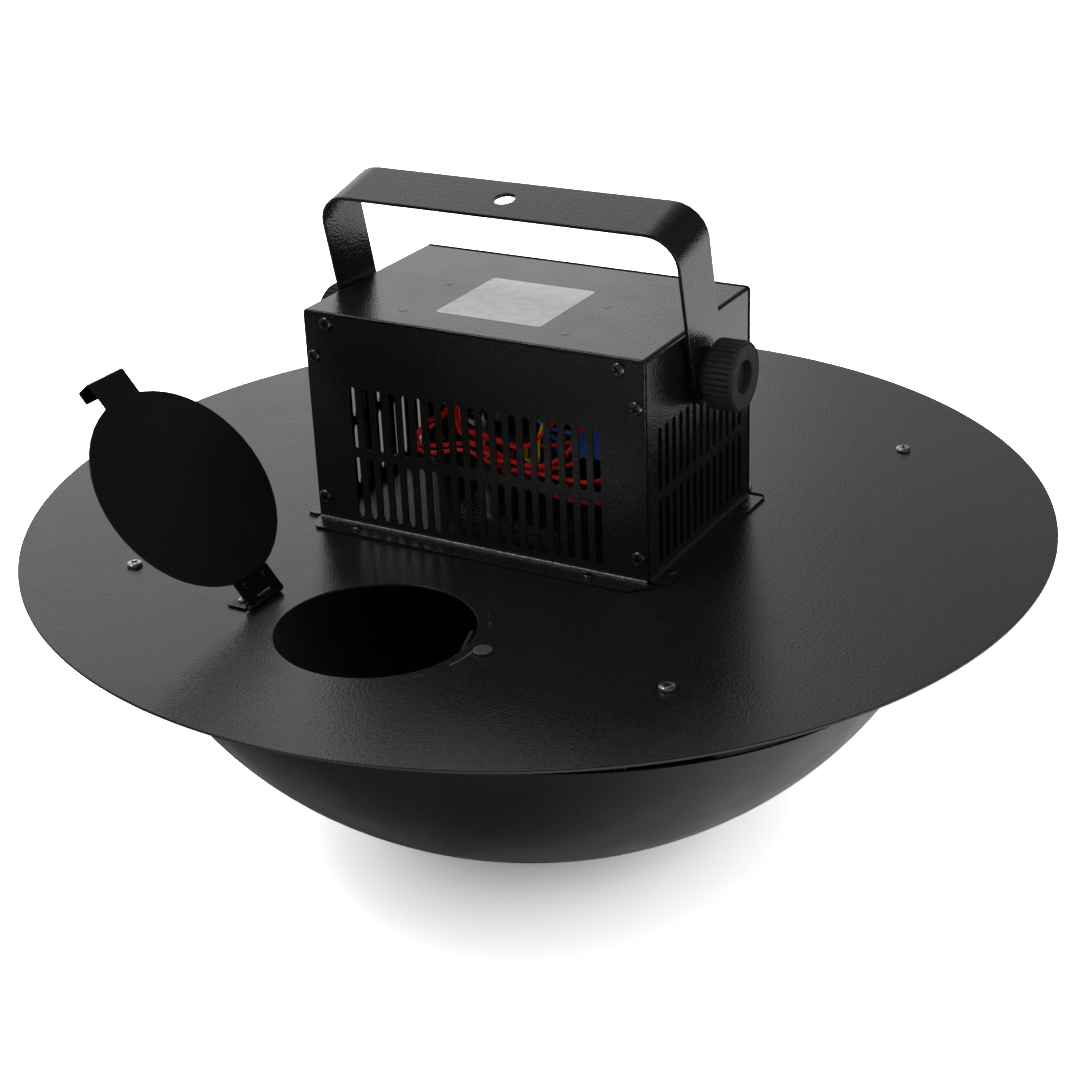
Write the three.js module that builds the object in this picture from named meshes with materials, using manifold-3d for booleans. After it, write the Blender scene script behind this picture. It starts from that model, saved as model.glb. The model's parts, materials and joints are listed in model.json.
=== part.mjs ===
// A hanging confetti blower. A steel deck plate carries the electronics housing on top and
// a deep spun bowl underneath. Confetti goes in through the lidded hole in the deck, and an
// impeller in the bowl throws it out through the gap between the bowl's mouth and the deck.
// Millimetres, +Z up. The origin is the bolt hole in the yoke, where the machine hangs.
import * as THREE from 'three';
import { mergeVertices } from 'three/addons/utils/BufferGeometryUtils.js';
import Module from 'manifold-3d';

const wasm = await Module();
wasm.setup();

// Clearances
const seatGap = 0.3;
const turnGap = 0.3;
const overrun = 3;

// Deck plate
const deckRadius = 265;
const deckSheet = 1.5;
const deckSides = 96;
const fillHoleRadius = 47.5;
const fillHoleForward = 153.4;
const holeSides = 32;

// Screws that hold the bowl's brackets
const bracketScrewCircle = 208;
const bracketScrewAngle = Math.PI / 4;
const bracketScrewRadius = 2;
const bracketScrewHeadRadius = 3.9;
const bracketScrewHeadHeight = 1.8;
const bracketScrewLength = 9;

// Bowl
const bowlMouthRadius = 212.3;
const bowlMouthDepth = 30;
const bowlDepth = 173.2;
const bowlSheet = 1.2;
const bowlShoulderRadius = 189.9;
const bowlShoulderDepth = 108.3;
const bowlFloorRadius = 102.1;
const bowlRimSpare = 12;
const bowlSides = 54;
const bowlRings = 10;

// The mouth's slanted cut: its depth under the deck at the middle, and how it leans
const mouthDrop = 48.9;
const mouthLean = 5.3 * Math.PI / 180;
const mouthTurn = 14.5 * Math.PI / 180;

// Bowl brackets
const bracketSheet = 1.5;
const bracketWidth = 38;
const bracketTab = 19;
const bracketFoldOut = 10;
const bracketReach = 28;
const bracketBend = 3;

// Housing
const housingHalfWidth = 95;
const housingHalfDepth = 60;
const housingHeight = 114;
const housingSheet = 1.2;
const housingBend = 2;
const baseBend = 1.8;
const panelInset = 1;
const panelTopInset = 2;
const lipWidth = 13;
const sideFlange = 9.5;
const panelFlange = 12;
const flangeChamfer = 15.5;
const footSlant = 4;

// Ventilation slots
const slotWidth = 4;
const slotLength = 33.2;
const slotPitch = 7.63;
const slotRowGap = 4.5;
const slotBase = 5.6;
const slotRows = 2;
const frontSlots = 19;
const sideSlots = 13;
const slotEndSteps = 3;

// Panel screws: distance in from the housing's side, and down from its top or up from the deck
const panelScrewRadius = 1.6;
const topScrewInset = 13.7;
const topScrewDrop = 6;
const sideScrewInset = 5;
const sideScrewDrop = 24;
const lowScrewHeight = 13.5;
const smallHoleSides = 8;

// Yoke, whose arms stand off the housing by a friction washer
const pivotDrop = 25;
const pivotHeight = housingHeight - pivotDrop;
const washerSheet = 1.8;
const yokeSheet = 2;
const yokeHalfWidth = housingHalfWidth + seatGap + washerSheet + seatGap + yokeSheet;
const yokeTilt = 13 * Math.PI / 180;
const yokeReach = 82.2;
const yokeStrip = 33;
const yokeBend = 17;
const yokeBoltRadius = 5.3;

// Clamp knobs and what they clamp
const studRadius = 4;
const studSides = 16;
const knobRadius = 17.5;
const knobLength = 18.3;
const knobSides = 28;
const knobFlutes = 36;
const knobFluteDepth = 0.8;
const knobChamfer = 1.6;
const knobCollarRadius = 12;
const knobCollarLength = 2.5;
const knobRecessRadius = 8.2;
const knobRecessDepth = 4.2;
const knobGrooveRadius = 15.2;
const knobGrooveWidth = 1;
const knobGrooveDepth = 0.8;
const washerRadius = 13;
const nutFlats = 13;
const nutHeight = 6.5;

// Fill lid and its hinge
const lidRadius = 52.5;
const lidSheet = 1;
const lidMiddle = 64;
const lidForward = 151.8;
const lidOpen = 129.5 * Math.PI / 180;
const lidUnderAxis = 0.8;
const tabWidth = 25;
const tabReach = 13;
const pullHeight = 9.6;
const pullReturn = 7;
const pullBend = 1.4;
const hingeAxisLeft = 64;
const hingeAxisHeight = 2.5;
const leafSheet = 0.8;
const leafLength = 13;
const knuckleRadius = 2.2;
const hingePinRadius = 1.1;
const middleKnuckle = 10;
const leafUnderAxis = 1.9;
const catchOut = 57;
const catchRadius = 4.5;
const catchTop = 1.4;
const catchShankRadius = 2;
const catchShankLength = 4;

// Motor and drive
const motorSides = 24;
const motorRadius = 27;
const motorLength = 47;
const motorCapRadius = 20;
const motorCapHeight = 5;
const motorSpigotRadius = 12;
const motorShoulder = 2;
const mountHalf = 33;
const mountSheet = 4;
const mountCorner = 6;
const deckShaftHole = 15;
const bearingFlangeRadius = 24;
const bearingFlangeSheet = 3;
const bearingBossRadius = 13.5;
const bearingBossLength = 17;
const shaftRadius = 4;
const shaftIntoMotor = 14;
const shaftEnd = 158;

// Impeller
const impellerRadius = 88;
const impellerSides = 48;
const impellerBottom = -148;
const impellerDisc = 2;
const impellerHubRadius = 13;
const impellerHubHeight = 32;
const impellerBlades = 6;
const bladeHeight = 34;
const bladeSheet = 2;
const bladeSweep = 32 * Math.PI / 180;
const bladeSteps = 5;
const impellerNutHeight = 5;

// Control board: its top's height above the deck, clear of the motor, and its edges
const boardHeight = 79.8;
const boardSheet = 1.6;
const boardLeft = 56;
const boardRight = 67;
const boardFront = 50;
const boardBack = 9;

// Standoffs that hang the board from the cover's top
const standoffLeft = 47.2;
const standoffRight = 43.6;
const standoffFront = 41.5;
const standoffBack = 2;
const standoffRadius = 3;
const standoffPinRadius = 1.4;

// What the board carries on its underside, each with its place from the housing's middle
const terminalLeft = 48.8;
const terminalLength = 19.7;
const terminalWidth = 12;
const terminalHeight = 23;
const terminalStep = 4;
const transformerLeft = 28;
const transformerForward = 20;
const transformerLength = 34;
const transformerWidth = 28;
const transformerHeight = 16;
const transformerBobbin = 5;
const relayRight = 5;
const relayForward = 25;
const relayLength = 19;
const relayWidth = 15.5;
const relayHeight = 15;
const plugLeft = 23.6;
const plugForward = 47;
const plugLength = 12;
const plugWidth = 6;
const plugHeight = 8;

// Mains inlet and switch in the rear panel
const inletLeft = 52;
const inletHeight = 42;
const inletHalfWidth = 14;
const inletHalfHeight = 18;
const inletFlange = 2.5;
const inletFlangeSheet = 2;
const inletDepth = 21;
const socketHalfWidth = 12.2;
const socketHalfHeight = 8.1;
const socketCorner = 5;
const socketDepth = 16;
const socketRaise = 7;
const pinLength = 14;
const pinSheet = 2;
const pinHeight = 4;
const pinSpread = 7;
const pinDrop = 2.6;
const drawerHalfWidth = 10;
const drawerHalfHeight = 3.6;
const drawerDrop = 10.5;
const drawerDepth = 15;
const drawerGrip = 1.5;
const switchLeft = 8;
const switchHeight = 42;
const switchHalfWidth = 6.6;
const switchHalfHeight = 9.8;
const switchFlange = 1.6;
const switchFlangeSheet = 1.6;
const switchDepth = 17;
const switchWall = 1.2;
const switchWellDepth = 9.6;
const rockerTilt = 9 * Math.PI / 180;
const rockerRise = 3.2;
const rockerEndGap = 0.9;

// Wires inside the housing
const wireRadius = 1.1;
const wireSides = 6;
const wireStep = 6.6;

const deckUnder = -deckSheet;

// Finishes
function finish(color, roughness, metalness) {
  return new THREE.MeshStandardMaterial({ color, roughness, metalness });
}
const powderCoat = () => finish(0x18191b, 0.55, 0.15);
const satinBlack = () => finish(0x1b1c1e, 0.45, 0.2);
const blackPlastic = () => finish(0x141414, 0.5, 0);
const zinc = () => finish(0xb9bcc0, 0.35, 0.9);
const darkSteel = () => finish(0x2a2b2e, 0.4, 0.7);
const rubber = () => finish(0x101010, 0.85, 0);
const brass = () => finish(0xb08a45, 0.35, 0.9);

// Directions that a drawn shape's x, its y and its thickness take
const planes = {
  x: [new THREE.Vector3(0, 1, 0), new THREE.Vector3(0, 0, 1), new THREE.Vector3(1, 0, 0)],
  y: [new THREE.Vector3(0, 0, 1), new THREE.Vector3(1, 0, 0), new THREE.Vector3(0, 1, 0)],
  z: [new THREE.Vector3(1, 0, 0), new THREE.Vector3(0, 1, 0), new THREE.Vector3(0, 0, 1)],
};

// A closed geometry as a solid, with its shared corners merged.
function solid(geometry) {
  geometry.deleteAttribute('normal');
  geometry.deleteAttribute('uv');
  const merged = mergeVertices(geometry);
  return new wasm.Manifold(new wasm.Mesh({
    numProp: 3,
    vertProperties: merged.attributes.position.array,
    triVerts: new Uint32Array(merged.index.array),
  }));
}

// A shape drawn across an axis, made solid between two places on that axis.
// Across x it is drawn in (y, z), across y in (z, x) and across z in (x, y).
function prism(shape, axis, from, to) {
  const geometry = new THREE.ExtrudeGeometry(shape, { depth: to - from, bevelEnabled: false });
  geometry.translate(0, 0, from);
  geometry.applyMatrix4(new THREE.Matrix4().makeBasis(...planes[axis]));
  return solid(geometry);
}

// A polygon with its corners on a circle.
function round(radius, sides, u = 0, v = 0) {
  const points = [];
  for (let i = 0; i < sides; i += 1) {
    const angle = (2 * Math.PI * i) / sides;
    points.push(new THREE.Vector2(u + radius * Math.cos(angle), v + radius * Math.sin(angle)));
  }
  return new THREE.Shape(points);
}

function rod(axis, radius, sides, from, to, u = 0, v = 0) {
  return prism(round(radius, sides, u, v), axis, from, to);
}

function outline(points) {
  return new THREE.Shape(points.map(([u, v]) => new THREE.Vector2(u, v)));
}

// The same outline with its two directions changed over.
function turnedOver(shape) {
  return new THREE.Shape(shape.getPoints().map(({ x, y }) => new THREE.Vector2(y, x)));
}

function rectangle(u0, u1, v0, v1) {
  return outline([[u0, v0], [u1, v0], [u1, v1], [u0, v1]]);
}

function block(x0, x1, y0, y1, z0, z1) {
  return prism(rectangle(x0, x1, y0, y1), 'z', z0, z1);
}

// A profile of (radius, height) pairs turned about the Z axis.
function turned(profile, sides) {
  const points = profile.map(([radius, height]) => new THREE.Vector2(radius, height));
  if (THREE.ShapeUtils.area(points) < 0) points.reverse();
  points.push(points[0].clone());
  const geometry = new THREE.LatheGeometry(points, sides);
  geometry.rotateX(Math.PI / 2);
  return solid(geometry);
}

// Straight runs between corners, with each inner corner rounded by an arc.
function bent(corners, radius, steps = 4) {
  const points = corners.map(([u, v]) => new THREE.Vector2(u, v));
  const path = [points[0]];
  for (let i = 1; i < points.length - 1; i += 1) {
    const back = points[i - 1].clone().sub(points[i]).normalize();
    const ahead = points[i + 1].clone().sub(points[i]).normalize();
    const half = Math.acos(THREE.MathUtils.clamp(back.dot(ahead), -1, 1)) / 2;
    const inward = back.clone().add(ahead).normalize();
    const middle = inward.multiplyScalar(radius / Math.sin(half)).add(points[i]);
    const first = back.clone().multiplyScalar(radius / Math.tan(half)).add(points[i]).sub(middle);
    const last = ahead.clone().multiplyScalar(radius / Math.tan(half)).add(points[i]).sub(middle);
    const sweep = Math.atan2(first.cross(last), first.dot(last));
    for (let k = 0; k <= steps; k += 1) {
      path.push(first.clone().rotateAround(new THREE.Vector2(), (sweep * k) / steps).add(middle));
    }
  }
  path.push(points[points.length - 1]);
  return path;
}

// The section of a sheet whose face follows the path, with its thickness to the path's right.
function sheetSection(path, thickness) {
  const inner = path.map((point, i) => {
    const before = path[Math.max(i - 1, 0)];
    const after = path[Math.min(i + 1, path.length - 1)];
    const into = (i > 0 ? point.clone().sub(before) : after.clone().sub(point)).normalize();
    const out = (i < path.length - 1 ? after.clone().sub(point) : point.clone().sub(before)).normalize();
    const across = new THREE.Vector2(into.y + out.y, -into.x - out.x).normalize();
    const slant = across.dot(new THREE.Vector2(into.y, -into.x));
    return across.multiplyScalar(thickness / slant).add(point);
  });
  return new THREE.Shape([...path, ...inner.reverse()]);
}

function joined(first, ...others) {
  return others.reduce((whole, part) => whole.add(part), first);
}

function cut(body, ...tools) {
  return tools.reduce((whole, tool) => whole.subtract(tool), body);
}

// A named piece of the machine.
function piece(name, body, material) {
  const { vertProperties, triVerts } = body.getMesh();
  const geometry = new THREE.BufferGeometry();
  geometry.setAttribute('position', new THREE.BufferAttribute(vertProperties, 3));
  geometry.setIndex(new THREE.BufferAttribute(triVerts, 1));
  geometry.computeVertexNormals();
  const mesh = new THREE.Mesh(geometry, material);
  mesh.name = name;
  return mesh;
}

// The bolt hole's middle on the yoke's outer face is the origin of the whole machine.
const machine = new THREE.Group();
machine.position.set(0, yokeReach * Math.sin(yokeTilt), -pivotHeight - yokeReach * Math.cos(yokeTilt));

// Deck plate
const bracketAngles = {
  front_right: -bracketScrewAngle,
  rear_right: bracketScrewAngle,
  rear_left: Math.PI - bracketScrewAngle,
  front_left: bracketScrewAngle - Math.PI,
};

function deckPlate() {
  const through = (radius, sides, x, y) => rod('z', radius, sides, deckUnder - overrun, overrun, x, y);
  const screwHoles = Object.values(bracketAngles).map((angle) => through(
    bracketScrewRadius + seatGap,
    smallHoleSides,
    bracketScrewCircle * Math.cos(angle),
    bracketScrewCircle * Math.sin(angle),
  ));
  return cut(
    rod('z', deckRadius, deckSides, deckUnder, 0),
    through(fillHoleRadius, holeSides, 0, -fillHoleForward),
    through(deckShaftHole, holeSides / 2, 0, 0),
    through(catchShankRadius + seatGap, smallHoleSides, catchOut, -lidForward),
    ...screwHoles,
  );
}
machine.add(piece('top_plate', deckPlate(), powderCoat()));

// Bowl
const bowlCurve = new THREE.CubicBezierCurve(
  new THREE.Vector2(bowlMouthRadius, -bowlMouthDepth),
  new THREE.Vector2(bowlShoulderRadius, -bowlShoulderDepth),
  new THREE.Vector2(bowlFloorRadius, -bowlDepth),
  new THREE.Vector2(0, -bowlDepth),
);

// Points down the bowl's wall, moved in from its outer face by an offset.
function bowlWall(offset, steps) {
  const points = [];
  for (let i = 0; i <= steps; i += 1) {
    const along = bowlCurve.getTangent(i / steps);
    const inward = new THREE.Vector2(along.y, -along.x);
    const point = bowlCurve.getPoint(i / steps).addScaledVector(inward, offset);
    if (i === 0) points.push(point.clone().addScaledVector(along, -bowlRimSpare));
    points.push(point);
  }
  points[points.length - 1].x = 0;
  return points.map((point) => [point.x, point.y]);
}

// Radius of the bowl's inner face at a height.
function bowlInnerRadius(height) {
  const wall = bowlWall(bowlSheet, bowlRings);
  const i = wall.findIndex(([, z]) => z < height);
  const [r0, z0] = wall[i - 1];
  const [r1, z1] = wall[i];
  return r0 + ((r1 - r0) * (height - z0)) / (z1 - z0);
}

// Height of the slanted mouth above a point of the deck.
function mouthHeight(x, y) {
  return -mouthDrop - Math.tan(mouthLean) * (x * Math.sin(mouthTurn) + y * Math.cos(mouthTurn));
}

function bowl() {
  const shell = turned([...bowlWall(0, bowlRings), ...bowlWall(bowlSheet, bowlRings).reverse()], bowlSides);
  const above = new THREE.BoxGeometry(2 * deckRadius, 2 * deckRadius, bowlDepth);
  above.translate(0, 0, bowlDepth / 2);
  above.rotateX(-mouthLean);
  above.rotateZ(-mouthTurn);
  above.translate(0, 0, -mouthDrop);
  return cut(shell, solid(above));
}
machine.add(piece('bowl', bowl(), satinBlack()));

// Bowl brackets: a tab screwed under the deck, and a leg welded to the bowl's inner wall.
// Each is drawn on the X axis and turned to its corner.
function bracket(angle) {
  const top = deckUnder - seatGap;
  const rim = mouthHeight(bracketScrewCircle * Math.cos(angle), bracketScrewCircle * Math.sin(angle));
  const rimRadius = bowlInnerRadius(rim);
  const bow = rimRadius - Math.sqrt(rimRadius ** 2 - (bracketWidth / 2) ** 2) + seatGap;
  const foot = rim - bracketReach;
  const path = bent([
    [bracketScrewCircle + bracketFoldOut - bracketTab, top],
    [bracketScrewCircle + bracketFoldOut, top],
    [rimRadius - bow, rim],
    [bowlInnerRadius(foot) - bow, foot],
  ], bracketBend, 3);
  const section = turnedOver(sheetSection(path, bracketSheet));
  const strap = prism(section, 'y', -bracketWidth / 2, bracketWidth / 2);
  const holeRadius = bracketScrewRadius + seatGap;
  const holeBottom = top - bracketSheet - overrun;
  return cut(strap, rod('z', holeRadius, smallHoleSides, holeBottom, overrun, bracketScrewCircle));
}

function bracketScrew() {
  return turned([
    [0, -bracketScrewLength],
    [bracketScrewRadius, -bracketScrewLength],
    [bracketScrewRadius, seatGap],
    [bracketScrewHeadRadius, seatGap],
    [bracketScrewHeadRadius, seatGap + bracketScrewHeadHeight / 2],
    [bracketScrewHeadRadius / 2, seatGap + bracketScrewHeadHeight],
    [0, seatGap + bracketScrewHeadHeight],
  ], smallHoleSides * 2);
}

for (const [corner, angle] of Object.entries(bracketAngles)) {
  const place = new THREE.Group();
  place.rotation.z = angle;
  place.add(piece(`bowl_bracket_${corner}`, bracket(angle), powderCoat()));
  const screw = piece(`bracket_screw_${corner}`, bracketScrew(), zinc());
  screw.position.x = bracketScrewCircle;
  place.add(screw);
  machine.add(place);
}

// Housing
const housing = new THREE.Group();
machine.add(housing);

// The corners that the base flanges share are cut back to this outline.
function footprint() {
  const x = housingHalfWidth + sideFlange;
  const y = housingHalfDepth + panelFlange;
  const near = x - flangeChamfer;
  const rightSide = [[near, -y], [x, flangeChamfer - y], [x, y - flangeChamfer], [near, y]];
  const leftSide = rightSide.map(([u, v]) => [-u, -v]);
  return prism(outline([...rightSide, ...leftSide]), 'z', 0, housingHeight);
}

// A slot with round ends, drawn from its bottom up.
function slot(u, v) {
  const points = [];
  const r = slotWidth / 2;
  for (const [start, middle] of [[Math.PI, v + r], [0, v + slotLength - r]]) {
    for (let i = 0; i <= slotEndSteps; i += 1) {
      const angle = start + (Math.PI * i) / slotEndSteps;
      points.push([u + r * Math.cos(angle), middle + r * Math.sin(angle)]);
    }
  }
  return points;
}

// Slots in rows and columns, drawn in (sideways, up).
function slotGrid(columns) {
  const slots = [];
  for (let row = 0; row < slotRows; row += 1) {
    for (let column = 0; column < columns; column += 1) {
      const sideways = (column - (columns - 1) / 2) * slotPitch;
      slots.push(slot(sideways, slotBase + row * (slotLength + slotRowGap)));
    }
  }
  return slots;
}

const panelScrews = [
  [housingHalfWidth - topScrewInset, housingHeight - topScrewDrop],
  [housingHalfWidth - sideScrewInset, housingHeight - sideScrewDrop],
  [housingHalfWidth - sideScrewInset, lowScrewHeight],
];

// Screw holes along Y through both ends of the housing, or through one panel.
function panelScrewHoles(from, to) {
  const hole = (x, z) => rod('y', panelScrewRadius, smallHoleSides, from, to, z, x);
  return panelScrews.flatMap(([x, z]) => [hole(x, z), hole(-x, z)]);
}

const panelBack = housingHalfDepth - housingSheet;
const lipFace = panelBack - seatGap;

function cover() {
  const x = housingHalfWidth;
  const base = seatGap + housingSheet;
  const halfway = housingHeight / 2;
  const left = bent([[-x - sideFlange, base], [-x, base], [-x, halfway]], baseBend, 3);
  const over = bent([[-x, halfway], [-x, housingHeight], [x, housingHeight], [x, halfway]], housingBend);
  const right = bent([[x, halfway], [x, base], [x + sideFlange, base]], baseBend, 3);
  const path = [...left.slice(0, -1), ...over.slice(1, -1), ...right.slice(1)];
  const shell = prism(turnedOver(sheetSection(path, housingSheet)), 'y', -lipFace, lipFace);
  const inner = x - housingSheet / 2;
  const under = housingHeight - housingSheet / 2;
  const lips = [];
  for (const side of [-1, 1]) {
    const [y0, y1] = side < 0 ? [-lipFace, -lipFace + housingSheet] : [lipFace - housingSheet, lipFace];
    lips.push(block(housingBend - x, x - housingBend, y0, y1, housingHeight - lipWidth, under));
    lips.push(block(-inner, lipWidth - x, y0, y1, base + baseBend, housingHeight - housingBend));
    lips.push(block(x - lipWidth, inner, y0, y1, base + baseBend, housingHeight - housingBend));
    const [e0, e1] = side < 0 ? [-panelBack, -lipFace + housingSheet] : [lipFace - housingSheet, panelBack];
    lips.push(block(x + baseBend, x + sideFlange, e0, e1, seatGap, base));
    lips.push(block(-x - sideFlange, -x - baseBend, e0, e1, seatGap, base));
  }
  const slots = slotGrid(sideSlots).map((points) => prism(outline(points), 'x', -x - overrun, x + overrun));
  const pivot = rod('x', studRadius + seatGap, studSides, -x - overrun, x + overrun, 0, pivotHeight);
  const body = cut(joined(shell, ...lips), ...slots, pivot, ...panelScrewHoles(-panelBack, panelBack));
  return body.intersect(footprint());
}
housing.add(piece('top_cover', cover(), powderCoat()));

// A panel drawn as the front one, facing -Y. Its foot is folded out over the deck, runs on past
// the housing's right corner and is notched back to a slant at the left one.
function panel(holes) {
  const base = seatGap + housingSheet;
  const x = housingHalfWidth - panelInset;
  const face = -housingHalfDepth;
  const heel = face - baseBend;
  const top = housingHeight - panelTopInset;
  const path = bent([[face - panelFlange, base], [face, base], [face, top]], baseBend, 3);
  const sheet = prism(sheetSection(path, housingSheet), 'x', -x, x);
  const ear = block(0, housingHalfWidth + sideFlange, face - panelFlange, heel, seatGap, base);
  const whole = joined(sheet, ear).intersect(footprint());
  const toe = face - panelFlange - overrun;
  const slant = outline([[-x - overrun, heel], [-x - overrun, toe], [footSlant - x, toe], [-x, heel]]);
  const notch = prism(slant, 'z', 0, base + overrun);
  return cut(whole, notch, ...holes, ...panelScrewHoles(face - overrun, face + housingSheet + overrun));
}

function frontSlotTools() {
  return slotGrid(frontSlots).map((points) => {
    const upright = outline(points.map(([sideways, up]) => [up, sideways]).reverse());
    return prism(upright, 'y', -housingHalfDepth - overrun, overrun - housingHalfDepth);
  });
}
housing.add(piece('front_panel', panel(frontSlotTools()), powderCoat()));

// Outlines on the rear panel, in (up, left) about their middle.
function around(up, left, halfHeight, halfWidth) {
  return rectangle(up - halfHeight, up + halfHeight, left - halfWidth, left + halfWidth);
}

function roundedAround(up, left, halfHeight, halfWidth, corner) {
  const [u0, u1, v0, v1] = [up - halfHeight, up + halfHeight, left - halfWidth, left + halfWidth];
  const corners = [[u0, left], [u0, v1], [u1, v1], [u1, v0], [u0, v0], [u0, left]];
  return new THREE.Shape(bent(corners, corner, 3).slice(0, -1));
}

// The rear panel is made like the front one and turned round, so its left and right change over.
function rearPanelTools() {
  const openings = [
    [inletHeight, inletLeft, inletHalfHeight, inletHalfWidth],
    [switchHeight, switchLeft, switchHalfHeight, switchHalfWidth],
  ];
  return openings.map(([up, left, halfHeight, halfWidth]) => prism(
    around(up, left, halfHeight + seatGap, halfWidth + seatGap),
    'y',
    -housingHalfDepth - overrun,
    overrun - housingHalfDepth,
  ));
}
const rear = new THREE.Group();
rear.rotation.z = Math.PI;
rear.add(piece('rear_panel', panel(rearPanelTools()), powderCoat()));
housing.add(rear);

// Mains inlet, drawn facing -Y in the rear group
const flangeSeat = -housingHalfDepth - seatGap;
const inletFace = flangeSeat - inletFlangeSheet;

function mainsInlet() {
  const w = inletHalfWidth;
  const h = inletHalfHeight;
  const flange = roundedAround(inletHeight, inletLeft, h + inletFlange, w + inletFlange, inletFlange);
  const body = around(inletHeight, inletLeft, h, w);
  const socketUp = inletHeight + socketRaise;
  const socket = roundedAround(socketUp, inletLeft, socketHalfHeight, socketHalfWidth, socketCorner);
  const drawerUp = inletHeight - drawerDrop;
  const drawer = around(drawerUp, inletLeft, drawerHalfHeight + turnGap, drawerHalfWidth + turnGap);
  return cut(
    joined(prism(flange, 'y', inletFace, flangeSeat), prism(body, 'y', inletFace, inletFace + inletDepth)),
    prism(socket, 'y', inletFace - overrun, inletFace + socketDepth),
    prism(drawer, 'y', inletFace - overrun, inletFace + drawerDepth + turnGap),
  );
}
rear.add(piece('mains_inlet', mainsInlet(), blackPlastic()));

const inletPins = {
  live: [-pinSpread, -pinDrop],
  neutral: [pinSpread, -pinDrop],
  earth: [0, pinDrop],
};
for (const [name, [sideways, up]] of Object.entries(inletPins)) {
  const section = around(inletHeight + socketRaise + up, inletLeft + sideways, pinHeight / 2, pinSheet / 2);
  const root = inletFace + socketDepth - seatGap;
  rear.add(piece(`inlet_pin_${name}`, prism(section, 'y', root - pinLength, root), brass()));
}

function fuseDrawer() {
  const z = inletHeight - drawerDrop;
  const w = drawerHalfWidth;
  const tray = prism(around(z, inletLeft, drawerHalfHeight, w), 'y', inletFace, inletFace + drawerDepth);
  const lip = rectangle(z - drawerHalfHeight, z - drawerHalfHeight / 2, inletLeft - w / 2, inletLeft + w / 2);
  return joined(tray, prism(lip, 'y', inletFace - drawerGrip, inletFace + drawerGrip));
}
rear.add(piece('fuse_drawer', fuseDrawer(), blackPlastic()));

// Rocker switch
const switchFace = flangeSeat - switchFlangeSheet;
const rockerAxisBack = switchFace + rockerRise;

function switchBody() {
  const w = switchHalfWidth;
  const h = switchHalfHeight;
  const flange = around(switchHeight, switchLeft, h + switchFlange, w + switchFlange);
  const body = around(switchHeight, switchLeft, h, w);
  const well = around(switchHeight, switchLeft, h - switchWall, w - switchWall);
  const whole = joined(
    prism(flange, 'y', switchFace, flangeSeat),
    prism(body, 'y', switchFace, switchFace + switchDepth),
  );
  return cut(whole, prism(well, 'y', switchFace - overrun, switchFace + switchWellDepth));
}
rear.add(piece('switch_body', switchBody(), blackPlastic()));

// The paddle's face is a shallow vee, so one end stands out when the other is pressed.
function rocker() {
  const w = switchHalfWidth - switchWall - turnGap;
  const h = switchHalfHeight - switchWall - rockerEndGap;
  const shape = outline([
    [-rockerRise, h],
    [rockerRise / 2, h * Math.cos(rockerTilt)],
    [rockerRise, 0],
    [rockerRise / 2, -h * Math.cos(rockerTilt)],
    [-rockerRise, -h],
    [-rockerRise / 2, 0],
  ]);
  return prism(shape, 'x', -w, w);
}
const paddle = piece('switch_rocker', rocker(), blackPlastic());
paddle.position.set(switchLeft, rockerAxisBack, switchHeight);
paddle.rotation.x = rockerTilt;
rear.add(paddle);

// Motor on its mounting plate, and the shaft's bearing under the deck
const mountTop = seatGap + mountSheet;
const motorBottom = mountTop + seatGap;

function motor() {
  const top = motorBottom + motorLength;
  return turned([
    [0, seatGap + shaftIntoMotor],
    [shaftRadius + turnGap, seatGap + shaftIntoMotor],
    [shaftRadius + turnGap, seatGap],
    [motorSpigotRadius, seatGap],
    [motorSpigotRadius, motorBottom],
    [motorRadius - motorShoulder, motorBottom],
    [motorRadius, motorBottom + motorShoulder],
    [motorRadius, top - motorShoulder],
    [motorRadius - motorShoulder, top],
    [motorCapRadius, top],
    [motorCapRadius - motorShoulder, top + motorCapHeight],
    [0, top + motorCapHeight],
  ], motorSides);
}
housing.add(piece('motor', motor(), darkSteel()));

function motorMount() {
  const plate = roundedAround(0, 0, mountHalf, mountHalf, mountCorner);
  return cut(
    prism(plate, 'z', seatGap, mountTop),
    rod('z', motorSpigotRadius + seatGap, holeSides, -overrun, mountTop + overrun),
  );
}
housing.add(piece('motor_mount', motorMount(), zinc()));

const bearingTop = deckUnder - seatGap;

function shaftBearing() {
  return turned([
    [shaftRadius + turnGap, bearingTop - bearingBossLength],
    [bearingBossRadius, bearingTop - bearingBossLength],
    [bearingBossRadius, bearingTop - bearingFlangeSheet],
    [bearingFlangeRadius, bearingTop - bearingFlangeSheet],
    [bearingFlangeRadius, bearingTop],
    [shaftRadius + turnGap, bearingTop],
  ], motorSides);
}
machine.add(piece('shaft_bearing', shaftBearing(), zinc()));

// The shaft and everything that turns with it
const rotor = new THREE.Group();
machine.add(rotor);
rotor.add(piece('drive_shaft', rod('z', shaftRadius, studSides, -shaftEnd, shaftIntoMotor), zinc()));

// One blade: an upright strip on an arc that sweeps back as it runs out.
function blade(angle) {
  const inside = impellerHubRadius - bladeSheet;
  const path = [];
  for (let i = 0; i <= bladeSteps; i += 1) {
    const share = i / bladeSteps;
    const radius = inside + (impellerRadius - inside) * share;
    const turn = angle - bladeSweep * share ** 2;
    path.push(new THREE.Vector2(radius * Math.cos(turn), radius * Math.sin(turn)));
  }
  const bottom = impellerBottom + impellerDisc / 2;
  return prism(sheetSection(path, bladeSheet), 'z', bottom, impellerBottom + impellerDisc + bladeHeight);
}

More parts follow.
